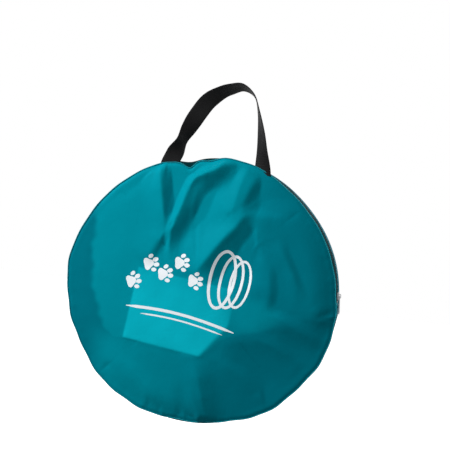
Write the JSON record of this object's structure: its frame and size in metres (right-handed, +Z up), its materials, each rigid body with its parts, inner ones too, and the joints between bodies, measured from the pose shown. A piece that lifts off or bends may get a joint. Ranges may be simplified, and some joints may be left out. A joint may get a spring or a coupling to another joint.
{
  "type": "packed agility tunnel",
  "caption": "Pop-up dog agility tunnel packed flat in its round zipped carry bag, hung by a webbing loop handle.",
  "frame": {"origin": "underside of the handle webbing, where the hand grips it", "axes": "+Z up when the bag hangs, +X to the right seen from the printed front, the front panel faces -Y"},
  "size_m": [0.3946, 0.0565, 0.4933],
  "materials": {
    "bag_cloth": "plain woven polyester, light sheen",
    "tunnel_cloth": "thin coated polyester",
    "tunnel_hem": "folded and stitched polyester",
    "black_webbing": "flat woven polypropylene",
    "tie_webbing": "thin woven tape",
    "zip_tape": "twill zip tape",
    "zip_coil": "nylon coil",
    "zip_metal": "nickel-plated zinc",
    "spring_steel": "drawn spring wire",
    "ferrule_metal": "crimped",
    "pouch_cloth": "plain woven polyester",
    "paper": "folded printed paper, shown plain"
  },
  "bodies": {
    "handle": {"handle_webbing": "black_webbing"},
    "bag": {"front_panel": "bag_cloth", "gusset_lower": "bag_cloth", "back_panel_lower": "bag_cloth", "zip_tape_front": "zip_tape", "zip_chain_front": "zip_coil", "zip_tape_end_right": "zip_tape", "zip_tape_end_left": "zip_tape", "zip_chain_end_right": "zip_coil", "zip_chain_end_left": "zip_coil", "zip_stop_right": "zip_metal", "zip_stop_left": "zip_metal", "zip_tab_right": "bag_cloth", "zip_tab_left": "bag_cloth", "handle_tail_left": "black_webbing", "handle_tail_right": "black_webbing", "tunnel_coil": "spring_steel", "coil_ferrule_front": "ferrule_metal", "coil_ferrule_back": "ferrule_metal", "tunnel_skin": "tunnel_cloth", "tunnel_hem_front": "tunnel_hem", "tunnel_hem_back": "tunnel_hem", "tunnel_tie_left": "tie_webbing", "tunnel_tie_right": "tie_webbing", "peg_loop_1": "tie_webbing", "peg_loop_2": "tie_webbing", "peg_loop_3": "tie_webbing", "peg_loop_4": "tie_webbing", "peg_pouch": "pouch_cloth", "instruction_leaflet": "paper"},
    "back_flap": {"back_panel_upper": "bag_cloth", "gusset_upper": "bag_cloth", "zip_tape_back": "zip_tape", "zip_chain_back": "zip_coil"},
    "zip_slider": {"zip_slider": "zip_metal"},
    "zip_puller": {"zip_puller": "zip_metal"}
  },
  "joints": [
    {"name": "handle_swing", "type": "hinge", "parent": "handle", "child": "bag", "pos_m": [-0.028, 0, -0.1039], "axis": [1, 0, 0], "range_deg": [-90, 60]},
    {"name": "flap_open", "type": "hinge", "parent": "bag", "child": "back_flap", "pos_m": [-0.028, 0.044, -0.271], "axis": [-1, 0, 0], "range_deg": [0, 120]},
    {"name": "zip_slide", "type": "hinge", "parent": "bag", "child": "zip_slider", "pos_m": [-0.028, 0.021, -0.297], "axis": [0, -1, 0], "range_deg": [0, 170]},
    {"name": "puller_swing", "type": "hinge", "parent": "zip_slider", "child": "zip_puller", "pos_m": [0.16891, 0.014, -0.28109], "axis": [0, -1, 0], "range_deg": [0, 165]}
  ]
}
